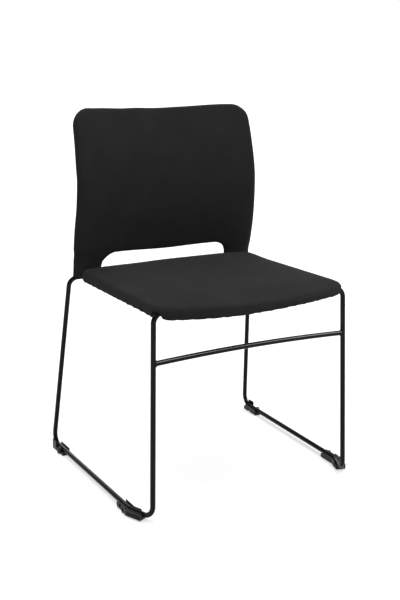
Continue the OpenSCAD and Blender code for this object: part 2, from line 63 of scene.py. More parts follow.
def ramp(t, a, b):
    """Smooth step from 0 at a to 1 at b."""
    s = np.clip((np.asarray(t, float) - a) / (b - a), 0, 1)
    return s * s * (3 - 2 * s)


def wobble(points, scale, seed):
    """Smooth noise from -1 to 1 at each point, with lumps about scale millimetres wide."""
    shift = Vector((seed * 17.3, seed * 5.1, seed * 9.7))
    return np.array([noise.noise(Vector(p) / scale + shift) for p in points])


def mesh_object(name, points, faces, free=None, body="root"):
    """A smooth-shaded mesh from points in millimetres, which rides on a CAD body.

    free, where it is given, says how freely each point may move in settle, from 0 to 1."""
    mesh = bpy.data.meshes.new(name)
    mesh.from_pydata([tuple(p) for p in np.asarray(points) * MM], [], faces)
    if free is not None:
        stored = mesh.attributes.new("free", "FLOAT", "POINT")
        stored.data.foreach_set("value", np.asarray(free, float))
    bm = bmesh.new()
    bm.from_mesh(mesh)
    bmesh.ops.remove_doubles(bm, verts=bm.verts, dist=WELD_GAP)
    bmesh.ops.recalc_face_normals(bm, faces=bm.faces)
    bm.to_mesh(mesh)
    bm.free()
    mesh.polygons.foreach_set("use_smooth", [True] * len(mesh.polygons))
    obj = bpy.data.objects.new(name, mesh)
    bpy.context.scene.collection.objects.link(obj)
    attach(obj, body)
    return obj


SIM_FRAMES = 16        # how long each pad's cloth simulation runs


def swell(obj, free, pressure, cap, shrink):
    """Cloth simulation of a pad: the vertices that are free swell and settle, by at most cap mm.

    A positive shrink tightens the cloth by that share of its size, and a negative one slackens it."""
    scene = bpy.context.scene
    count = len(obj.data.vertices)
    before = np.empty(count * 3)
    obj.data.vertices.foreach_get("co", before)
    work = bpy.data.objects.new("cloth_work", obj.data.copy())
    scene.collection.objects.link(work)
    pins = work.vertex_groups.new(name="pins")
    for k in range(count):
        pins.add([k], float(1 - free[k]), "REPLACE")
    cloth_sim = work.modifiers.new("cloth", "CLOTH")
    settings = cloth_sim.settings
    settings.vertex_group_mass = "pins"
    settings.quality = 4
    settings.mass = 0.15
    settings.tension_stiffness = settings.compression_stiffness = 40
    settings.shear_stiffness = 15
    settings.bending_stiffness = 0.3
    settings.use_pressure = True
    settings.uniform_pressure_force = pressure
    settings.shrink_min = shrink
    settings.effector_weights.gravity = 0
    cloth_sim.collision_settings.use_collision = False
    cloth_sim.point_cache.frame_start = 1
    cloth_sim.point_cache.frame_end = SIM_FRAMES
    for frame_number in range(1, SIM_FRAMES + 1):
        scene.frame_set(frame_number)
    shaped = work.evaluated_get(bpy.context.evaluated_depsgraph_get())
    after = np.empty(count * 3)
    shaped.data.vertices.foreach_get("co", after)
    move = (after - before).reshape(-1, 3)
    size = np.linalg.norm(move, axis=1, keepdims=True) + 1e-12      # never zero, for the division
    limit = cap * MM
    move *= limit * np.tanh(size / limit) / size
    move *= np.asarray(free)[:, None]
    obj.data.vertices.foreach_set("co", before + move.ravel())
    obj.data.update()
    spare = work.data
    bpy.data.objects.remove(work)
    bpy.data.meshes.remove(spare)
    scene.frame_set(1)


RELAX_ROUNDS = 14


def relax(obj, free):
    """Evens out sharp creases: the vertices that are free move towards the mean of their neighbours."""
    mesh = obj.data
    ends = np.empty(len(mesh.edges) * 2, int)
    mesh.edges.foreach_get("vertices", ends)
    start, end = ends.reshape(-1, 2).T
    degree = np.bincount(ends, minlength=len(mesh.vertices))[:, None]
    places = np.empty(len(mesh.vertices) * 3)
    mesh.vertices.foreach_get("co", places)
    places = places.reshape(-1, 3)
    for _ in range(RELAX_ROUNDS):
        total = np.zeros_like(places)
        np.add.at(total, start, places[end])
        np.add.at(total, end, places[start])
        places += 0.5 * free[:, None] * (total / degree - places)
    mesh.vertices.foreach_set("co", places.ravel())
    mesh.update()


def settle(obj, pressure, cap, shrink):
    """Swells a pad and evens it out, by each vertex's share of freedom, which mesh_object stored."""
    stored = obj.data.attributes["free"]
    free = np.empty(len(obj.data.vertices))
    stored.data.foreach_get("value", free)
    obj.data.attributes.remove(stored)
    swell(obj, free, pressure, cap, shrink)
    relax(obj, free)


def along(points, n):
    """n + 1 points spaced evenly along a polyline."""
    points = np.asarray(points, float)
    run = np.concatenate([[0], np.cumsum(np.linalg.norm(np.diff(points, axis=0), axis=1))])
    at = np.linspace(0, run[-1], n + 1)
    return np.stack([np.interp(at, run, points[:, k]) for k in range(points.shape[1])], axis=1)


def arc(cx, cy, r, a, b, n):
    """n + 1 points on an arc round (cx, cy), from angle a to angle b in degrees."""
    t = np.radians(np.linspace(a, b, n + 1))
    return np.stack([cx + r * np.cos(t), cy + r * np.sin(t)], axis=1)


def coons(left, right, low, high):
    """Grid of points between four boundary curves: rows run from low to high."""
    v = np.linspace(0, 1, len(left))[:, None, None]
    u = np.linspace(0, 1, len(low))[None, :, None]
    edges = (1 - u) * left[:, None] + u * right[:, None] + (1 - v) * low[None] + v * high[None]
    corners = ((1 - u) * (1 - v) * low[0] + u * (1 - v) * low[-1]
               + (1 - u) * v * high[0] + u * v * high[-1])
    return edges - corners


# ---- materials ----

class Nodes:
    """Short calls for building one node tree."""

    def __init__(self, tree):
        self.tree = tree

    def add(self, kind, inputs=None, **settings):
        """A node with its settings, and each input linked to a socket or set to a value."""
        node = self.tree.nodes.new(kind)
        for key, value in settings.items():
            setattr(node, key, value)
        for key, value in (inputs or {}).items():
            if isinstance(value, bpy.types.NodeSocket):
                self.tree.links.new(value, node.inputs[key])
            else:
                node.inputs[key].default_value = value
        return node

    def math(self, op, a, b=0.0, c=0.0):
        return self.add("ShaderNodeMath", {0: a, 1: b, 2: c}, operation=op).outputs[0]

    def noise(self, vector, scale, detail, rough):
        return self.add("ShaderNodeTexNoise", {"Vector": vector, "Scale": scale, "Detail": detail,
                                               "Roughness": rough}).outputs["Fac"]

    def spread(self, value, low, high, to_low=0.0, to_high=1.0):
        """Value's run from low to high, stretched to the run from to_low to to_high."""
        return self.add("ShaderNodeMapRange", {"Value": value, "From Min": low, "From Max": high,
                                               "To Min": to_low, "To Max": to_high}).outputs[0]

    def mix(self, factor, a, b):
        """Colour a where factor is 0 and b where it is 1."""
        node = self.add("ShaderNodeMix", data_type="RGBA")
        for socket, value in ((node.inputs[0], factor), (node.inputs[6], a), (node.inputs[7], b)):
            if isinstance(value, bpy.types.NodeSocket):
                self.tree.links.new(value, socket)
            else:
                socket.default_value = value
        return node.outputs[2]

    def bump(self, height, strength, distance):
        return self.add("ShaderNodeBump", {"Height": height, "Strength": strength,
                                           "Distance": distance}).outputs[0]


def new_material(name):
    """A material with an empty Principled shader: (material, nodes, shader)."""
    material = bpy.data.materials.new(name)
    material.use_nodes = True
    tree = material.node_tree
    tree.nodes.clear()
    nodes = Nodes(tree)
    shader = nodes.add("ShaderNodeBsdfPrincipled")
    out = nodes.add("ShaderNodeOutputMaterial")
    tree.links.new(shader.outputs[0], out.inputs[0])
    return material, nodes, shader


def grey(value, warm=0.0):
    """A grey, with red raised and blue lowered by the share warm."""
    return (value * (1 + warm), value, value * (1 - warm), 1.0)


THREAD = 0.0011        # spacing of the cloth's threads, in metres
THREAD_GROOVE = 0.35   # depth of the grooves between threads, as a share of the weave's rise
CLOTH_WARP = 0.004     # how far the threads wander from straight lines, in metres


def weave_height(n, p, q):
    """Plain weave: threads along p and q pass over and under each other."""
    turn_p, turn_q = (n.math("MULTIPLY", along_axis, math.pi / THREAD) for along_axis in (p, q))
    over = n.math("MULTIPLY", n.math("SINE", turn_p), n.math("SINE", turn_q))
    round_p, round_q = (n.math("ABSOLUTE", n.math("COSINE", turn)) for turn in (turn_p, turn_q))
    return n.math("MULTIPLY_ADD", n.math("ADD", round_p, round_q), -THREAD_GROOVE, over)


def cloth_material():
    """Black woven upholstery cloth: plain weave, fuzz, faint colour variation and soft sheen."""
    material, n, shader = new_material("black_cloth")
    where = n.add("ShaderNodeTexCoord").outputs["Object"]
    # The weave is laid on from three sides and blended by the way the surface faces
    facing = n.add("ShaderNodeSeparateXYZ", {0: n.add("ShaderNodeNewGeometry").outputs["Normal"]})
    weights = [n.math("POWER", n.math("ABSOLUTE", facing.outputs[k]), 3.0) for k in range(3)]
    drift = n.add("ShaderNodeTexNoise", {"Vector": where, "Scale": 9.0}).outputs["Color"]
    drift = n.add("ShaderNodeVectorMath", {0: drift, 1: (CLOTH_WARP,) * 3}, operation="MULTIPLY")
    warped = n.add("ShaderNodeVectorMath", {0: where, 1: drift.outputs[0]}, operation="ADD")
    x, y, z = n.add("ShaderNodeSeparateXYZ", {0: warped.outputs[0]}).outputs
    weaves = [weave_height(n, y, z), weave_height(n, x, z), weave_height(n, x, y)]
    parts = [n.math("MULTIPLY", w, h) for w, h in zip(weights, weaves)]
    weave = n.math("DIVIDE", n.math("ADD", n.math("ADD", parts[0], parts[1]), parts[2]),
                   n.math("ADD", n.math("ADD", weights[0], weights[1]), weights[2]))
    fuzz = n.noise(where, 2200.0, 4.0, 0.7)
    patches = n.noise(where, 14.0, 4.0, 0.55)
    height = n.math("MULTIPLY_ADD", fuzz, 0.5, weave)
    shade = n.math("MULTIPLY_ADD", weave, 0.10, n.spread(patches, 0.3, 0.7, 0.32, 0.62))
    shade = n.math("MULTIPLY_ADD", fuzz, 0.35, shade)
    colour = n.mix(shade, grey(0.0063), grey(0.0137, 0.015))
    n.tree.links.new(colour, shader.inputs["Base Color"])
    n.tree.links.new(n.spread(fuzz, 0.2, 0.8, 0.82, 0.98), shader.inputs["Roughness"])
    n.tree.links.new(n.bump(height, 0.5, 0.00035), shader.inputs["Normal"])
    shader.inputs["Specular IOR Level"].default_value = 0.04
    shader.inputs["Sheen Weight"].default_value = 0.018
    shader.inputs["Sheen Roughness"].default_value = 0.45
    return material


def enamel_material():
    """Semi-matt black powder coat on steel: fine orange peel, a few dull rubs."""
    material, n, shader = new_material("black_powder_coat")
    where = n.add("ShaderNodeTexCoord").outputs["Object"]
    peel = n.noise(where, 900.0, 2.0, 0.5)
    rubs = n.noise(where, 45.0, 5.0, 0.65)
    colour = n.mix(n.spread(rubs, 0.45, 0.75), grey(0.002), grey(0.004, 0.01))
    n.tree.links.new(colour, shader.inputs["Base Color"])
    n.tree.links.new(n.spread(rubs, 0.35, 0.7, 0.15, 0.22), shader.inputs["Roughness"])
    n.tree.links.new(n.bump(peel, 0.2, 0.0002), shader.inputs["Normal"])
    shader.inputs["Specular IOR Level"].default_value = 0.11
    return material


def plastic_material(name, tone, rough, grain):
    """Moulded plastic: fine spark-eroded grain, slight scuffing and softened edges."""
    material, n, shader = new_material(name)
    where = n.add("ShaderNodeTexCoord").outputs["Object"]
    fine = n.noise(where, grain, 3.0, 0.6)
    scuff = n.noise(where, 60.0, 6.0, 0.7)
    colour = n.mix(n.spread(scuff, 0.5, 0.8), grey(tone), grey(tone * 1.9))
    n.tree.links.new(colour, shader.inputs["Base Color"])
    n.tree.links.new(n.spread(scuff, 0.3, 0.8, rough, rough + 0.18), shader.inputs["Roughness"])
    edges = n.add("ShaderNodeBevel", {"Radius": 0.0005}, samples=4).outputs[0]
    grain_bump = n.add("ShaderNodeBump", {"Height": fine, "Strength": 0.35, "Distance": 0.0002,
                                          "Normal": edges})
    n.tree.links.new(grain_bump.outputs[0], shader.inputs["Normal"])
    shader.inputs["Specular IOR Level"].default_value = 0.22
    return material


def metal_material(name, colour, rough):
    """Plated metal with fine brushing."""
    material, n, shader = new_material(name)
    where = n.add("ShaderNodeTexCoord").outputs["Object"]
    stretched = n.add("ShaderNodeMapping", {"Vector": where, "Scale": (3000.0, 3000.0, 200.0)})
    brush = n.noise(stretched.outputs[0], 1.0, 3.0, 0.6)
    shade = n.mix(brush, tuple(c * 0.8 for c in colour) + (1.0,), tuple(colour) + (1.0,))
    n.tree.links.new(shade, shader.inputs["Base Color"])
    n.tree.links.new(n.spread(brush, 0.2, 0.8, rough, rough + 0.15), shader.inputs["Roughness"])
    n.tree.links.new(n.bump(brush, 0.15, 0.0001), shader.inputs["Normal"])
    shader.inputs["Metallic"].default_value = 1.0
    return material


cloth = cloth_material()
enamel = enamel_material()
shell_plastic = plastic_material("shell_plastic", 0.006, 0.5, 1500.0)
foot_plastic = plastic_material("foot_plastic", 0.0045, 0.36, 2500.0)
rubber = plastic_material("bumper_rubber", 0.005, 0.6, 3000.0)
steel = metal_material("zinc_steel", (0.50, 0.51, 0.53), 0.3)
brass = metal_material("plain_brass", (0.62, 0.46, 0.20), 0.3)
foam_skin = plastic_material("foam_skin", 0.25, 0.9, 900.0)

# Each CAD node takes the material of its slot
FINISH = {"rod_enamel": enamel, "shell_plastic": shell_plastic, "foam": foam_skin,
          "cover_fabric": cloth, "insert_brass": brass, "screw_steel": steel,
          "glide_plastic": foot_plastic, "bumper_rubber": rubber}
for part in frame["record"]["subparts"]:
    node = frame["nodes"][part["node"]]
    node.data.materials.clear()
    node.data.materials.append(FINISH[part["material_slot"]])
    node.data.polygons.foreach_set("material_index", [0] * len(node.data.polygons))

# ---- the back ----

back_lo, back_hi = box_mm("back_cover_front")
FOOT_SWELL = 2.2           # how much the padding widens the posts
FOOT_ROLL = 4.0            # how far the posts' outer edges roll back
SIDE_TAPER = 7.5           # how much narrower each side is at the top
FOOT_Z = back_lo[2]        # lowest point of the posts
FOOT_R = 2.5               # corner radius at the posts' feet
HALF_W = back_hi[0] - FOOT_SWELL - SIDE_TAPER
TOP_Z = 817.5              # top edge before it dips
TOP_R = 42.0               # radius of the top corners
HOLD_HALF = 168.0          # half the hand hold's width
HOLD_TOP = 485.0           # its upper edge
HOLD_R = 38.0              # corner radius of the hand hold's front edge
HOLD_R_REAR = 21.0         # and of its rear edge
POST_REACH = 4.0           # how far the cloth is pulled down over the rear rod
LUMBAR_Y = 150.0           # front of the sides, where they come furthest forward
LUMBAR_Z = 645.0           # height of that place
POST_BEND_Z = 470.0        # below this height the posts run straight
THICK = 23.5               # thickness of the whole back
CROWN = 1.6                # how much more its front stands out in the middle
WRAP = 15.0                # how hollow it is from side to side
RIM = 11.0                 # how far in from the edge the rounding reaches
RIM_SOFT = 14.0            # how much further it reaches low on the sides
RIM_POWER = 2.4            # its fullness: 2 is a plain ellipse


def back_mid(x, z):
    """Middle surface of the back: y at (x, z)."""
    upper = 0.0012 * np.maximum(z - LUMBAR_Z, 0) ** 2
    lower = (0.00084 * np.minimum(np.maximum(z, POST_BEND_Z) - LUMBAR_Z, 0) ** 2
             + 0.08 * np.maximum(POST_BEND_Z - z, 0))
    roll = FOOT_ROLL * ramp(np.abs(x), 196, 236) * (1 - ramp(z, 540, 700))
    return LUMBAR_Y + upper + lower + THICK / 2 + WRAP * (1 - (x / 230) ** 2) + roll


def back_frame(x, z):
    """Points on the middle surface and its normals, towards the rear."""
    h = 1.0
    gx = (back_mid(x + h, z) - back_mid(x - h, z)) / (2 * h)
    gz = (back_mid(x, z + h) - back_mid(x, z - h)) / (2 * h)
    normal = np.stack([-gx, np.ones_like(gx), -gz], axis=-1)
    normal /= np.linalg.norm(normal, axis=-1, keepdims=True)
    return np.stack([x, back_mid(x, z), z], axis=-1), normal


def back_outline_bend(q):
    """From the plain rounded outline to the real one: swelling sides, dipped top, sagging hand hold."""
    x, z = q[..., 0], q[..., 1]
    side = SIDE_TAPER * (1 - (np.maximum(z - 520, 0) / 270) ** 1.6)
    side = side + FOOT_SWELL * (1 - ramp(z, 520, 680)) + 1.6 * np.exp(-np.maximum(z - FOOT_Z, 0) / 9)
    # The left and right edges aren't quite alike: the cloth bulges by up to 2.6 mm in places
    left = 2.0 * ramp(z, 650, 700) + 2.0 * ramp(z, 485, 505) * (1 - ramp(z, 535, 600))
    right = 2.2 * ramp(z, 455, 480) * (1 - ramp(z, 640, 730)) + 2.6 * ramp(z, 775, 800)
    side = side + (x < 0) * left
    side = side + (x > 0) * right
    dx = side * ramp(np.abs(x), 172, HALF_W)
    # The top edge dips by 5 mm, and sits up to 3 mm lower on the left than on the right
    near_top = ramp(z, 620, TOP_Z)
    dz = -5 * (1 - ramp(np.abs(x), 20, 170)) * near_top
    dz = dz + near_top * (1.3 * ramp(x, -10, 40) - 3 * ramp(x, -215, -175) * (1 - ramp(x, -115, -60)))
    # The hand hold's upper edge sags by 3 mm
    near_hold = (1 - ramp(z, HOLD_TOP, 600)) * ramp(z, 470, HOLD_TOP)
    dz = dz - 3 * (1 - ramp(np.abs(x), 0, 120)) * near_hold
    drop = POST_REACH * (1 - ramp(z, FOOT_Z, FOOT_Z + 16)) * (np.abs(x) > 150)
    return np.stack([x + np.sign(x) * dx, z + dz - drop], axis=-1)


SPLIT_X = HOLD_HALF - HOLD_R - 2     # where the middle grid meets those over the posts
SPLIT_Z = 522.0                      # height on the outer edge where the panel's rows start
COLS_MID = 52                        # quads across and up each grid
COLS_POST = 22
ROWS_PANEL = 68
ROWS_POST = 18
SEAM_DEPTH = 0.9           # the covers' seam sinks this far into the rim
HOLD_BLEND = 3.5           # inset at which the hand hold's corners have each side's own radius


def post_patch(d, side):
    """Grid over the right post and the panel's right edge, inset by d: rows go up, columns go outward.

    side is -1 for the front and 1 for the rear, which share the hand hold's corner radius at the seam."""
    seam_r = (HOLD_R + HOLD_R_REAR) / 2
    face_r = HOLD_R if side < 0 else HOLD_R_REAR
    hold_r = seam_r + (face_r - seam_r) * float(ramp(d, SEAM_DEPTH, HOLD_BLEND))
    hold_x, arc_z = HOLD_HALF - hold_r, HOLD_TOP - hold_r
    low = FOOT_Z + d
    out_x = HALF_W - d
    r_foot = max(FOOT_R - d, MIN_R)
    r_top = max(TOP_R - d, MIN_R)
    top = TOP_Z - d
    # The arc starts where the corner at the foot ends, if that is above the arc's centre
    start = math.degrees(math.asin(min(max((low + r_foot - arc_z) / (hold_r + d), 0), 1)))
    in_x = hold_x + (hold_r + d) * math.cos(math.radians(start))
    inner_corner = arc(in_x + r_foot, low + r_foot, r_foot, 225, 180, 6)
    lower_left = np.concatenate([inner_corner, arc(hold_x, arc_z, hold_r + d, start, 90, 30),
                                 [[SPLIT_X, HOLD_TOP + d]]])
    left = np.concatenate([along(lower_left, ROWS_POST)[:-1],
                           along([[SPLIT_X, HOLD_TOP + d], [SPLIT_X, top]], ROWS_PANEL)])
    outer_corner = arc(out_x - r_foot, low + r_foot, r_foot, -45, 0, 6)
    lower_right = np.concatenate([outer_corner, [[out_x, SPLIT_Z]]])
    upper_right = np.concatenate([[[out_x, SPLIT_Z]], arc(out_x - r_top, top - r_top, r_top, 0, 45, 16)])
    right = np.concatenate([along(lower_right, ROWS_POST)[:-1], along(upper_right, ROWS_PANEL)])
    bottom = along([left[0], [in_x + r_foot, low], [out_x - r_foot, low], right[0]], COLS_POST)
    corner = arc(out_x - r_top, top - r_top, r_top, 90, 45, 16)
    over = along(np.concatenate([[[SPLIT_X, top]], corner]), COLS_POST)
    return coons(left, right, bottom, over)


def middle_patch(d):
    """Grid over the panel between the hand hold's corners, inset by d."""
    low, top = HOLD_TOP + d, TOP_Z - d
    left = along([[-SPLIT_X, low], [-SPLIT_X, top]], ROWS_PANEL)
    right = along([[SPLIT_X, low], [SPLIT_X, top]], ROWS_PANEL)
    return coons(left, right, along([left[0], right[0]], COLS_MID), along([left[-1], right[-1]], COLS_MID))


def back_loop(d, side):
    """The back's outline inset by d, as a closed loop that starts at the hand hold's middle."""
    post = post_patch(d, side)
    middle = middle_patch(d)
    half = COLS_MID // 2
    right = np.concatenate([middle[0, half:-1], post[ROWS_POST:0:-1, 0], post[0, :-1], post[:-1, -1],
                            post[-1, :0:-1], middle[-1, :half:-1], middle[-1, half:half + 1]])
    mirrored = right[::-1][1:-1] * np.array([-1, 1])
    return np.concatenate([right, mirrored])


def rim_height(e, x, z):
    """Share of the half thickness at distance e from the edge: a rounded rim, softer low on the sides."""
    reach = RIM + RIM_SOFT * ramp(np.abs(x), 150, 190) * (1 - ramp(z, 520, 700))
    return np.maximum(1 - (1 - np.minimum(e / reach, 1)) ** RIM_POWER, 0) ** (1 / RIM_POWER)


# Insets of the loops from the seam to the flat grids
RIM_STEPS = [0.0, 0.004, 0.03, 0.25, 0.8, 1.7, 3.0, 4.8, 7.0, 9.5, 12.5]
INNER_D = 16.0             # inset of the flat grids inside the rim


def stack_grid(points, faces, grid):
    """Adds a grid of points and its quads."""
    rows, cols = grid.shape[:2]
    base = len(points)
    points.extend(grid.reshape(-1, grid.shape[-1]))
    for j in range(rows - 1):
        for i in range(cols - 1):
            a = base + j * cols + i
            faces.append((a, a + 1, a + cols + 1, a + cols))


def stack_loops(points, faces, loops):
    """Adds closed loops of points and the quads between neighbours."""
    n = len(loops[0])
    base = len(points)
    for loop in loops:
        points.extend(loop)
    for k in range(len(loops) - 1):
        for i in range(n):
            a, b = base + k * n + i, base + k * n + (i + 1) % n
            faces.append((a, b, b + n, a + n))


def with_distance(q, d):
    """Points of the bent outline with their inset d as a last number."""
    return np.concatenate([back_outline_bend(q), np.full(q.shape[:-1] + (1,), d)], axis=-1)


def back_upholstery():
    """The back's cover over its foam, front and rear in one closed form."""
    points, faces = [], []
    for side in (-1.0, 1.0):
        start = len(points)
        post = post_patch(INNER_D, side)
        for grid in (middle_patch(INNER_D), post, post[:, ::-1] * np.array([-1, 1])):
            stack_grid(points, faces, with_distance(grid, INNER_D))
        loops = [with_distance(back_loop(d + SEAM_DEPTH * (d == 0), side), d)
                 for d in RIM_STEPS + [INNER_D]]
        stack_loops(points, faces, loops)
        for k in range(start, len(points)):
            points[k] = np.append(points[k], side)
    data = np.array(points)
    x, z, e, side = data.T
    base, normal = back_frame(x, z)
    crown = CROWN * ramp(depth_in_back(x, z), 12, 90)
    lift = side * (rim_height(e, x, z) * THICK / 2 + crown * (side < 0))
    shaped = base + normal * lift[:, None]
    shaped += normal * (side * back_folds(x, z, e, shaped))[:, None]
    free = ramp(depth_in_back(x, z), 5, 22) * ramp(e, 5, 12)
    return mesh_object("back_upholstery", shaped, faces, free)


def depth_in_back(x, z):
    """Distance in from the back's edge and from the hand hold, nearly: the bends are left out."""
    side = HALF_W + 5 - np.abs(x)
    top = TOP_Z - 4 - z
    corner = np.where((side < TOP_R) & (top < TOP_R),
                      TOP_R - np.hypot(TOP_R - side, TOP_R - top), np.minimum(side, top))
    hx = np.abs(x) - (HOLD_HALF - HOLD_R)
    hz = z - (HOLD_TOP - HOLD_R)
    hold = np.hypot(np.maximum(hx, 0), np.maximum(hz, 0)) + np.minimum(np.maximum(hx, hz), 0) - HOLD_R
    return np.maximum(np.minimum(np.minimum(corner, hold), z - FOOT_Z), 0)


def back_folds(x, z, e, where):
    """Outward moves that puckers, tension lines and creases give the cloth, in millimetres."""
    depth = depth_in_back(x, z)
    # Gathers round the top corners, fanning in from the rim
    ox, oz = np.abs(x) - (HALF_W - TOP_R), z - (TOP_Z - TOP_R)
    angle = np.arctan2(oz, ox)
    reach = np.exp(-depth / 26) * ramp(np.hypot(ox, oz), 6, 30) * ramp(ox, -45, 0) * ramp(oz, -45, 0)
    gathers = 0.75 * reach * np.sin(angle * 17 + 1.3 * np.sin(x * 0.7)) * (0.6 + 0.4 * np.sin(angle * 7))
    # Creases across the foot of each post, where the cloth is pulled round the rod
    foot = np.exp(-np.maximum(z - FOOT_Z, 0) / 17) * (np.abs(x) > HOLD_HALF - 4)
    tilt = z * 0.42 + np.abs(x) * 0.21
    creases = foot * (1.3 * np.sin(tilt) + 1.4 * wobble(where, 13, 3))
    # Small gathers round the hand hold's corners
    hx, hz = np.abs(x) - (HOLD_HALF - HOLD_R), z - (HOLD_TOP - HOLD_R)
    hold = np.exp(-np.abs(np.hypot(hx, hz) - HOLD_R) / 9) * (hx > -4) * (hz > -4)
    hold_gathers = 0.28 * hold * np.sin(np.arctan2(hz, hx) * 26)
    soft = 0.45 * wobble(where, 95, 1) + 0.16 * wobble(where, 30, 2)
    return (gathers + creases + hold_gathers) * ramp(e, 0, 4) + soft * ramp(e, 1, 9)


# ---- the seat ----

seat_lo, seat_hi = box_mm("seat_cover")
SEAT_HALF = seat_hi[0]
SEAT_REAR = seat_hi[1]
SEAT_FRONT = seat_lo[1]
SEAT_TOP = seat_hi[2]
FRONT_BOW = 48.0           # how far the front edge bows forward
FRONT_R = 28.0             # corner radii
REAR_R = 26.0
PAN_TOP = 449.0            # top of the seat's shell
PAD_MIN = 4.4              # thinnest padding over it
BOW_R = (SEAT_HALF ** 2 + FRONT_BOW ** 2) / (2 * FRONT_BOW)
BOW_Y = SEAT_FRONT + BOW_R
CORNER_X = SEAT_HALF - FRONT_R
CORNER_Y = BOW_Y - math.sqrt((BOW_R - FRONT_R) ** 2 - CORNER_X ** 2)
BOW_ANGLE = math.degrees(math.atan2(CORNER_Y - BOW_Y, CORNER_X))

SEAT_COLS = 84             # quads across and along the seat
SEAT_ROWS = 80
SEAT_D = 26.0              # inset of the flat grids inside the rings


def seat_sides(d):
    """The seat's outline inset by d as four curves: left and right go forward to back, low is the front."""
    rear_r = max(REAR_R - d, MIN_R)
    front_r = max(FRONT_R - d, MIN_R)
    cx, cy = SEAT_HALF - d - rear_r, SEAT_REAR - d - rear_r
    half_turn = BOW_ANGLE / 2
    right = np.concatenate([arc(CORNER_X, CORNER_Y, front_r, half_turn, 0, 10),
                            arc(cx, cy, rear_r, 0, 45, 6)])
    bow = arc(0, BOW_Y, BOW_R - d, -90, BOW_ANGLE, 40)
    low_right = np.concatenate([bow, arc(CORNER_X, CORNER_Y, front_r, BOW_ANGLE, half_turn, 10)])
    high_right = np.concatenate([[[0, SEAT_REAR - d]], arc(cx, cy, rear_r, 90, 45, 6)])
    right = along(right, SEAT_ROWS)
    low_half = along(low_right, SEAT_COLS // 2)
    high_half = along(high_right, SEAT_COLS // 2)
    flip = np.array([-1, 1])
    low = np.concatenate([low_half[:0:-1] * flip, low_half])
    high = np.concatenate([high_half[:0:-1] * flip, high_half])
    return right * flip, right, low, high


def seat_loop(d):
    """The seat's outline inset by d as a closed loop."""
    left, right, low, high = seat_sides(d)
    return np.concatenate([low[:-1], right[:-1], high[:0:-1], left[:0:-1]])


def seat_top(x, y):
    """Height of the seat's top: lower towards the front and the sides."""
    return SEAT_TOP - 8 * ramp(-y, 175, 275) - 2.5 * ramp(np.abs(x), 120, 230)


def shell_top(x, y):
    """Top of the CAD shell under the seat's padding."""
    return np.minimum(PAN_TOP, seat_top(x, y) - PAD_MIN)


def corner_cut(x, y):
    """1 where the hem is cut up round the rods at the front corners, and 0 elsewhere."""
    return (np.abs(x) > 190) * ramp(-y, 197, 202) * (1 - ramp(-y, 215.5, 220))


def rear_cut(x, y):
    """1 where the hem is cut up round the rods at the rear, and 0 elsewhere."""
    return (np.abs(x) > 160) * ramp(y, 163, 174)


HEM_Z = 428.0
CUT_UP = 14.0              # how much higher the hem is in the cuts


def hem_base(x, y):
    """Height of the hem's lower edge."""
    return HEM_Z - 2 * ramp(-y, 150, 215) + CUT_UP * corner_cut(x, y) + CUT_UP * rear_cut(x, y)


def hem_pull(x, y):
    """How far the front hem hangs above or below its base line: it is stapled unevenly.

    The places and heights are listed."""
    uneven = np.interp(x, [-220, -190, -150, -90, -50, -15, 30, 85, 145, 190],
                       [-2.5, -3.2, -3.9, -3.8, -3.4, -1.9, -1.0, 1.2, 2.1, -0.6])
    return uneven * ramp(-y, 195, 225) - 1.2 * ramp(-x, 200, 225) * (1 - ramp(-y, 195, 205))


def edge_scale(x, y):
    """How much of the edge's rounding is left at the cut corners."""
    return 1 - 0.65 * np.maximum(rear_cut(x, y), corner_cut(x, y))


SHELL_GAP = 0.15           # the form's underside lies this far over the shell's top

# Rings from the flat top over the edge to the hem, under it and up the inside: (inset, height), by
# what the height is counted from
SEAT_EDGE = [("top", [(SEAT_D, 0), (21, 0), (16, 0), (12, -0.45), (9.2, -1.15), (6.8, -2.0),
                      (4.8, -3.1), (3.2, -4.5), (2.0, -6.2), (1.1, -8.2), (0.5, -10.6), (0.15, -13.4)]),
             ("hem", [(0.0, 13.0), (0.0, 10.0), (0.1, 8.0), (0.45, 5.8), (1.2, 3.9), (2.2, 2.3),
                      (3.4, 1.1), (4.8, 0.4)]),
             ("fold", [(6.4, 0.1), (8.4, 0.2), (8.9, 0.7), (8.4, 1.2), (6.0, 1.3)]),
             ("wall", [(4.6, 1.5), (2.65, 4.3), (1.15, 8.3)]),
             ("shell", [(1.15, -4.5), (4.3, -1.2), (12.0, SHELL_GAP), (SEAT_D, SHELL_GAP)])]


def loop_run(loop):
    """Share of the way round a closed loop at each point, and the loop's outward normals."""
    ahead = np.roll(loop, -1, axis=0) - loop
    run = np.concatenate([[0], np.cumsum(np.linalg.norm(ahead, axis=1))])
    tangent = np.roll(loop, -1, axis=0) - np.roll(loop, 1, axis=0)
    normal = np.stack([tangent[:, 1], -tangent[:, 0]], axis=1)
    normal /= np.linalg.norm(normal, axis=1, keepdims=True)
    return run[:-1] / run[-1], normal


SEAT_RUN, SEAT_OUT = loop_run(seat_loop(0))


def seat_height(x, y, height, base):
    """Height of a ring: from the top, the hem, the fold under it, or the shell's wall or top."""
    scale = edge_scale(x, y)
    hem = hem_base(x, y) + hem_pull(x, y)
    if base == "top":      # never below the highest ring that is counted from the hem
        return np.maximum(seat_top(x, y) + height, hem + 13.2 * scale + 0.02 * (height + 14))
    if base == "hem":
        return hem + height * scale
    if base == "fold":     # on the hem's base line, but at most 2.6 mm above the hem itself
        return np.minimum(hem + 2.6, hem_base(x, y)) + height
    if base == "wall":     # at least 4.6 mm under the shell's top
        return np.minimum(hem_base(x, y) + height * scale + 0.3, shell_top(x, y) - 4.6)
    return shell_top(x, y) + height


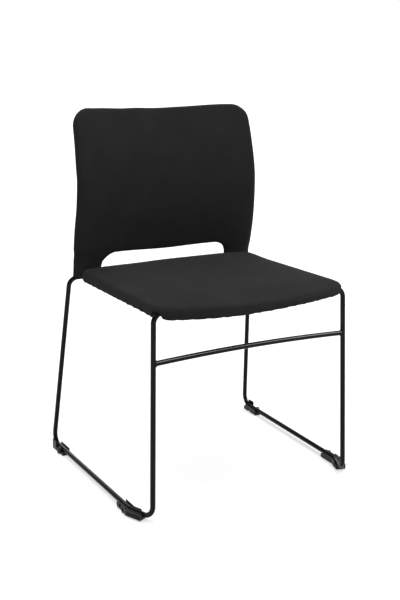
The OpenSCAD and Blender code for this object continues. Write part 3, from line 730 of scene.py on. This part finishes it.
def seat_ring(d, height, base):
    """One ring of the seat: x, y, z, inset, share of the way round, outward normal, 1 if it's inside."""
    x, y = seat_loop(d).T
    z = seat_height(x, y, height, base)
    inner = np.full_like(x, base in ("fold", "wall", "shell"))
    return np.column_stack([x, y, z, np.full_like(x, d), SEAT_RUN, SEAT_OUT, inner])


def seat_flat(height, base):
    """Grid of the seat's middle, with the same numbers for each point as seat_ring."""
    grid = coons(*seat_sides(SEAT_D))
    x, y = grid[..., 0], grid[..., 1]
    rest = np.zeros(grid.shape[:2] + (3,))
    last = np.full(grid.shape[:2] + (1,), float(base == "shell"))
    inset = np.full(grid.shape[:2] + (1,), SEAT_D)
    return np.concatenate([grid, seat_height(x, y, height, base)[..., None], inset, rest, last], axis=-1)


def seat_upholstery():
    """The seat's cover over its foam: crowned top, rolled edge, gathered hem, closed underneath."""
    points, faces = [], []
    stack_grid(points, faces, seat_flat(0, "top"))
    stack_loops(points, faces, [seat_ring(d, height, base) for base, rings in SEAT_EDGE
                                for d, height in rings])
    stack_grid(points, faces, seat_flat(SHELL_GAP, "shell"))
    data = np.array(points)
    x, y, _, d = data[:, :4].T
    inner = data[:, 7]
    clamped = np.maximum(rear_cut(x, y), corner_cut(x, y)) * (d < 20)
    free = ramp(d, 2, 14) * (1 - inner) * (1 - clamped)
    shaped = clear_of_rod(data[:, :3] + seat_folds(data))
    return mesh_object("seat_upholstery", shaped, faces, free)


ROD_R = 5.5
ROD_GAP = 0.4                                # between the rod and the cloth that touches it
KNEE = np.array([229.3, -209.4, 438.5])      # where the right rod's straight lines meet, at the top
TOE = np.array([241.5, -219.0, 12.0])        # and at the bottom of the front leg
LEG_WAY = (TOE - KNEE) / np.linalg.norm(TOE - KNEE)
KNEE_BEND = 21.0                             # radius of the bend at the knee


def knee_line():
    """Centre line of the right rod round the seat's front corner, as closely spaced points."""
    level = np.array([1.0, 0, 0])
    turn = math.acos(LEG_WAY[0])
    inward = LEG_WAY - LEG_WAY[0] * level
    inward /= np.linalg.norm(inward)
    start = KNEE - level * KNEE_BEND * math.tan(turn / 2)
    t = np.linspace(0, turn, 40)[:, None]
    bend = start + KNEE_BEND * (np.sin(t) * level + (1 - np.cos(t)) * inward)
    return np.concatenate([start - level * np.linspace(60, 1, 60)[:, None], bend,
                           bend[-1] + LEG_WAY * np.linspace(1, 30, 30)[:, None]])


def clear_of_rod(points):
    """Moves cloth that touches the frame at the front corners to the rod's surface."""
    moved = points.copy()
    line = knee_line()
    for side in (-1, 1):
        path = line * np.array([side, 1, 1])
        near = np.flatnonzero((side * points[:, 0] > 190) & (np.abs(points[:, 1] - KNEE[1]) < 14))
        for k in near:
            gaps = points[k] - path
            reach = np.linalg.norm(gaps, axis=1)
            closest = int(np.argmin(reach))
            if reach[closest] < ROD_R + ROD_GAP:
                away = gaps[closest] + np.array([0, 0, 0.8])
                moved[k] = path[closest] + away / np.linalg.norm(away) * (ROD_R + ROD_GAP)
    return moved


def seat_folds(data):
    """Moves that the crown, gathers and creases give the seat's cloth, in millimetres."""
    x, y, z, d, run = data[:, :5].T
    inner = data[:, 7]
    where = data[:, :3]
    move = np.zeros((len(data), 3))
    edge = np.minimum(np.minimum(SEAT_HALF - np.abs(x), SEAT_REAR - y), BOW_R - np.hypot(x, y - BOW_Y))
    top = (1 - inner) * (d >= 12)
    soft = 0.5 * wobble(where, 90, 5) + 0.15 * wobble(where, 28, 6)
    move[:, 2] += top * (1.0 * ramp(edge, 12, 110) + soft * ramp(edge, 12, 40))
    # The rear edge stands a little higher, most of all in the middle and on the right
    rear = ramp(y, 70, 160) * (1 - inner) * ramp(z, 444, 454)
    move[:, 2] += (0.8 + 2.0 * ramp(x, -110, 0)) * rear
    # Gathers down the sides, where the cloth is pulled under and stapled
    turn = run * 2 * math.pi
    pull = (0.6 * np.sin(63 * turn + 1.5 * np.sin(9 * turn))
            + 0.4 * np.sin(107 * turn + 2 * np.sin(5 * turn)))
    skirt = np.clip((seat_top(x, y) - 3 - z) / 22, 0, 1) ** 1.4 * (d < 10)
    crumple = np.maximum(wobble(where * np.array([1, 1, 0.45]), 8, 8) + 0.15, 0)
    low = np.clip((hem_base(x, y) + 13 - z) / 10, 0, 1) * (d < 4)
    low = low * (1 - inner) * (1 - corner_cut(x, y))
    move[:, :2] += (0.5 * skirt * pull + 2.0 * low * crumple)[:, None] * data[:, 5:7]
    hem = np.clip((hem_base(x, y) + 8 - z) / 8, 0, 1) * (d < 9)
    off_rods = 1 - (np.abs(x) > 160) * ramp(y, 150, 165)
    move[:, 2] -= hem * (0.6 * pull - 0.2) * off_rods
    # Pinch over the rod at each front corner
    pinch = np.exp(-((y - KNEE[1]) / 3.2) ** 2) * (np.abs(x) > 190)
    pinch = pinch * np.clip((446 - z) / 6, 0, 1) * (d < 4)
    move[:, :2] -= (1.2 * pinch * (1 - inner))[:, None] * data[:, 5:7]
    return move


back = back_upholstery()
settle(back, pressure=0.7, cap=1.6, shrink=0.004)
seat = seat_upholstery()
settle(seat, pressure=1.0, cap=1.8, shrink=-0.001)
for pad, nodes in ((back, ("back_cover_front", "back_cover_rear", "back_front_foam", "back_rear_foam")),
                   (seat, ("seat_cover", "seat_foam"))):
    pad.data.materials.append(cloth)
    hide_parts(*nodes)

# ---- weld beads at the ends of the stretcher ----

STRETCHER_Z = 337.0        # height of the stretcher's ends
STRETCHER_RISE = 6.0       # of the arch between them
BEAD_R = 1.55


def weld_bead(side):
    """A rippled bead along the curve where the stretcher meets a front leg."""
    end = KNEE + LEG_WAY * (KNEE[2] - STRETCHER_Z) / -LEG_WAY[2]
    arch_r = (end[0] ** 2 + STRETCHER_RISE ** 2) / (2 * STRETCHER_RISE)
    slope = math.asin(end[0] / arch_r)
    inward = np.array([-math.cos(slope), 0, math.sin(slope)])
    across = np.cross(inward, LEG_WAY)
    across /= np.linalg.norm(across)
    up = np.cross(across, inward)
    points, faces = [], []
    steps, rim = 64, 10
    for i in range(steps):
        t = 2 * math.pi * i / steps
        radial = across * math.cos(t) + up * math.sin(t)
        reach = ROD_R * math.sqrt(max(1 - math.cos(t) ** 2 * 0.97, 0))
        centre = end + inward * (reach + 0.5) + radial * (ROD_R + 0.1)
        tangent = np.cross(radial, inward)
        outward = radial + inward * 0.6
        outward /= np.linalg.norm(outward)
        over = np.cross(tangent, outward)
        size = BEAD_R + 0.22 * math.sin(13 * t) + 0.15 * math.sin(5 * t + 1)
        for j in range(rim):
            a = 2 * math.pi * j / rim
            points.append(centre + size * (outward * math.cos(a) + over * math.sin(a)))
        for j in range(rim):
            a, b = i * rim + j, i * rim + (j + 1) % rim
            c, d = (i + 1) % steps * rim + (j + 1) % rim, (i + 1) % steps * rim + j
            faces.append((a, b, c, d))
    name = "weld_bead_right" if side > 0 else "weld_bead_left"
    bead = mesh_object(name, np.array(points) * np.array([side, 1, 1]), faces)
    bead.data.materials.append(enamel)


weld_bead(-1)
weld_bead(1)

# ---- floor, light and camera ----

FLOOR_HALF = 150.0     # half the floor's width, in metres: wide enough that it ends at the horizon
FLOOR_Z = -0.0003      # just under the feet
LAMP_AIM = Vector((0, 0, 0.4))
LAMP_DISTANCE = 3.0


def soft_sun(name, energy, spread, toward, for_gloss=False):
    """Light from a round patch of the sky, spread degrees wide, for the shading or for the highlights."""
    toward = Vector(toward).normalized()
    sun = bpy.data.lights.new(name, "SUN")
    sun.energy = energy
    sun.angle = math.radians(spread)
    lamp = bpy.data.objects.new(name, sun)
    lamp.location = LAMP_AIM + toward * LAMP_DISTANCE
    lamp.rotation_euler = toward.to_track_quat("Z", "Y").to_euler()
    lamp.visible_glossy = for_gloss
    lamp.visible_diffuse = not for_gloss
    bpy.context.scene.collection.objects.link(lamp)


def studio():
    """Pale floor that glows, soft light from overhead and behind, two lamps for highlights, and a world
    that is white at the horizon and grey above."""
    mesh = bpy.data.meshes.new("floor")
    s, z = FLOOR_HALF, FLOOR_Z
    mesh.from_pydata([(-s, -s, z), (s, -s, z), (s, s, z), (-s, s, z)], [], [(0, 1, 2, 3)])
    floor = bpy.data.objects.new("floor", mesh)
    bpy.context.scene.collection.objects.link(floor)
    material, n, shader = new_material("pale_floor")
    shader.inputs["Base Color"].default_value = grey(0.37)
    shader.inputs["Emission Color"].default_value = grey(1.0)
    shader.inputs["Emission Strength"].default_value = 0.49
    shader.inputs["Roughness"].default_value = 1.0
    shader.inputs["Specular IOR Level"].default_value = 0.0
    mesh.materials.append(material)

    soft_sun("overhead", 6.0, 96, (0.2, -0.16, 0.95))
    soft_sun("rear", 1.1, 60, (-0.2, 0.72, 0.66))
    soft_sun("key", 8.5, 38, (0.508, -0.459, 0.729), for_gloss=True)
    soft_sun("edge", 0.85, 32, (0.1, 0.93, 0.36), for_gloss=True)

    world = bpy.data.worlds.new("studio")
    world.use_nodes = True
    n = Nodes(world.node_tree)
    where = n.add("ShaderNodeSeparateXYZ", {0: n.add("ShaderNodeTexCoord").outputs["Generated"]})
    background = world.node_tree.nodes["Background"]
    shade = n.mix(n.spread(where.outputs["Z"], 0.09, 0.16), grey(1.05), grey(0.25))
    world.node_tree.links.new(shade, background.inputs[0])
    bpy.context.scene.world = world
    bpy.context.scene.view_settings.view_transform = "Standard"


def camera():
    """The camera at the photo's viewing angle."""
    data = bpy.data.cameras.new("camera")
    data.sensor_width = 36
    data.lens = 54.18
    cam = bpy.data.objects.new("camera", data)
    cam.location = (-0.97126, -1.73289, 0.88620)
    azimuth, pitch = math.radians(-29.02), math.radians(-13.944)
    cam.rotation_euler = (math.pi / 2 + pitch, 0, azimuth)
    bpy.context.scene.collection.objects.link(cam)
    bpy.context.scene.camera = cam


studio()
camera()

bpy.context.view_layer.update()
